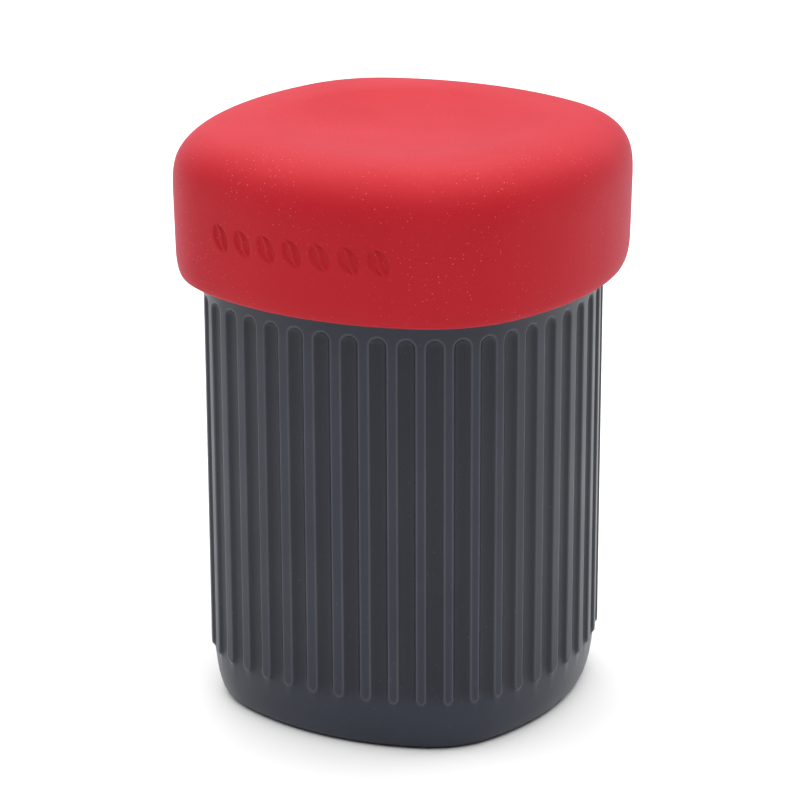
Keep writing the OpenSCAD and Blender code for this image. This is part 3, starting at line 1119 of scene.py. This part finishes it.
@dataclass
class FilterCase:
    """The round case of spare filters, with its push-on lid."""

    bottom: float = 118.2
    radius: float = 35.6
    wall: float = 1.8
    floor: float = 1.6
    top: float = 129.0
    ring_radius: float = 26.2
    ring_wall: float = 1.4
    ring_drop: float = 2.0
    lid_radius: float = 37.0
    lid_top: float = 130.65
    lid_skirt: float = 124.0
    spare_count: int = 12
    spare_pitch: float = 0.35
    spare_thick: float = 0.25
    spare_radius: float = 31.9
    spare_low: float = 119.85

    def build(self) -> list[bpy.types.Object]:
        """Spins the case, its lid and the stack of papers.

        Returns:
            The pieces.
        """
        tray = Blank()
        inner, ring = self.radius - self.wall, self.ring_radius - self.ring_wall
        foot = self.bottom - self.ring_drop
        section = [
            (0, self.bottom), (ring, self.bottom), (ring, foot), (self.ring_radius, foot),
            (self.ring_radius, self.bottom), (self.radius, self.bottom), (self.radius, self.top),
            (inner, self.top), (inner, self.bottom + self.floor), (0, self.bottom + self.floor),
        ]
        tray.outline(section, False, [(2, 0.3), (3, 0.3), (5, 1.0), (6, 0.4), (7, 0.4), (8, 0.8)])
        tray.turn(192)
        cover = Blank()
        skirt_in, under, dip = self.radius + 0.15, self.top + 0.05, self.lid_top - 0.5
        section = [
            (0, under), (skirt_in, under), (skirt_in, self.lid_skirt), (self.lid_radius, self.lid_skirt),
            (self.lid_radius, self.lid_top), (self.lid_radius - 4.0, self.lid_top),
            (self.lid_radius - 4.6, dip), (0, dip),
        ]
        cover.outline(section, False, [(2, 0.2), (3, 0.3), (4, 1.0), (5, 0.2), (6, 0.2)])
        cover.turn(192)
        stack = Blank()
        for number in range(self.spare_count):
            low = self.spare_low + number * self.spare_pitch
            edge = self.spare_radius - 0.12 * ((number * 5) % 4)
            stack.add(paper_disc(edge, low, self.spare_thick, 96))
        return [
            hand_over(tray.to_object("case_tray", 40), CASE_PLASTIC, "filter_case", "filter_case"),
            hand_over(stack.to_object("spare_papers", 40), FILTER_PAPER, "filter_case", "spare_filters"),
            hand_over(cover.to_object("case_cover", 40), CASE_PLASTIC, "filter_case_lid", "filter_case_lid"),
        ]


# ---------------------------------------------------------------- the studio


@dataclass(frozen=True)
class Lamp:
    """A soft area light. Places are metres right of the object, towards the camera, and up."""

    name: str
    place: tuple[float, float, float]
    size: Point
    power: float
    faces: tuple[float, float, float]


LAMPS = (
    Lamp("overhead", (0.0, -0.2, 1.6), (3.2, 3.2), 87.0, (0.0, -0.2, 0.0)),
    Lamp("left_panel", (-1.5, -0.7, 0.5), (2.0, 1.0), 4.4, (0.0, 0.0, 0.06)),
    Lamp("right_panel", (1.5, -0.7, 0.5), (2.0, 1.0), 4.2, (0.0, 0.0, 0.06)),
    Lamp("back_panel", (0.0, -2.2, 1.1), (4.0, 1.5), 20.0, (0.0, 0.0, 0.2)),
)


@dataclass
class Studio:
    """A pale floor, soft light and the camera."""

    azimuth: float = 29.31
    elevation: float = 19.28
    distance: float = 780.3
    lens: float = 149.2
    aim: tuple[float, float, float] = (0.0, 0.0, 69.0)
    offset: Point = (-1.18, 1.10)
    roll: float = 0.198
    world: float = 0.16
    floor_half: float = 3000.0
    floor_drop: float = 0.02
    floor_grey: float = 0.86

    def camera(self) -> None:
        """Places the camera."""
        a, e = math.radians(self.azimuth), math.radians(self.elevation)
        back = Vector((math.sin(a) * math.cos(e), -math.cos(a) * math.cos(e), math.sin(e)))
        right = Vector((math.cos(a), math.sin(a), 0))
        up = back.cross(right)
        place = Vector(self.aim) + back * self.distance
        target = Vector(self.aim) + right * self.offset[0] + up * self.offset[1]
        data = bpy.data.cameras.new("studio_camera")
        data.lens, data.sensor_width = self.lens, 36.0
        data.clip_start, data.clip_end = 0.01, 20.0
        camera = bpy.data.objects.new("studio_camera", data)
        camera.location = place * MM
        camera.rotation_mode = "QUATERNION"
        look = (target - place).to_track_quat("-Z", "Y")
        camera.rotation_quaternion = look @ Quaternion((0, 0, 1), -math.radians(self.roll))
        bpy.context.scene.collection.objects.link(camera)
        bpy.context.scene.camera = camera

    def spot(self, right: float, near: float, up: float) -> Vector:
        """Finds a place as the camera sees it.

        Args:
            right: Metres to the right of the object.
            near: Metres from the object towards the camera.
            up: Metres above the floor.

        Returns:
            The place.
        """
        a = math.radians(self.azimuth)
        across, along = math.cos(a), math.sin(a)
        return Vector((right * across + near * along, right * along - near * across, up))

    def hang(self, lamp: Lamp) -> None:
        """Adds a lamp."""
        data = bpy.data.lights.new(lamp.name, "AREA")
        data.shape, data.energy = "RECTANGLE", lamp.power
        data.size, data.size_y = lamp.size
        place = self.spot(*lamp.place)
        light = bpy.data.objects.new(lamp.name, data)
        light.location = place
        light.rotation_mode = "QUATERNION"
        light.rotation_quaternion = (self.spot(*lamp.faces) - place).to_track_quat("-Z", "Y")
        bpy.context.scene.collection.objects.link(light)

    def floor(self) -> bpy.types.Object:
        """Lays the floor.

        Returns:
            The floor.
        """
        sheet = Blank()
        bmesh.ops.create_grid(sheet.bm, x_segments=1, y_segments=1, size=self.floor_half)
        sheet.move(Matrix.Translation((0, 0, -self.floor_drop)))
        plane = sheet.to_object("studio_floor", 30)
        paint = bpy.data.materials.new("Studio floor")
        paint.use_nodes = True
        shader = paint.node_tree.nodes["Principled BSDF"]
        shader.inputs["Base Color"].default_value = (*(self.floor_grey,) * 3, 1)
        shader.inputs["Roughness"].default_value = 0.8
        shader.inputs["Specular IOR Level"].default_value = 0.1
        plane.data.materials.append(paint)
        return plane

    def build(self) -> None:
        """Sets up the whole studio."""
        self.camera()
        self.floor()
        scene = bpy.context.scene
        scene.view_settings.view_transform = "Standard"
        world = bpy.data.worlds.new("studio_world")
        world.use_nodes = True
        background = world.node_tree.nodes["Background"]
        background.inputs["Color"].default_value = (1, 1, 1, 1)
        background.inputs["Strength"].default_value = self.world
        scene.world = world
        for lamp in LAMPS:
            self.hang(lamp)


def main() -> None:
    """Builds the studio and every piece."""
    logging.basicConfig(level=logging.INFO, format="%(name)s %(relativeCreated)d %(message)s")
    Studio().build()
    Mug().build()
    Lid().build()
    BrewChamber().build()
    FilterCap().build()
    Plunger().build()
    Utensils().build()
    FilterCase().build()


if __name__ == "__main__":
    main()
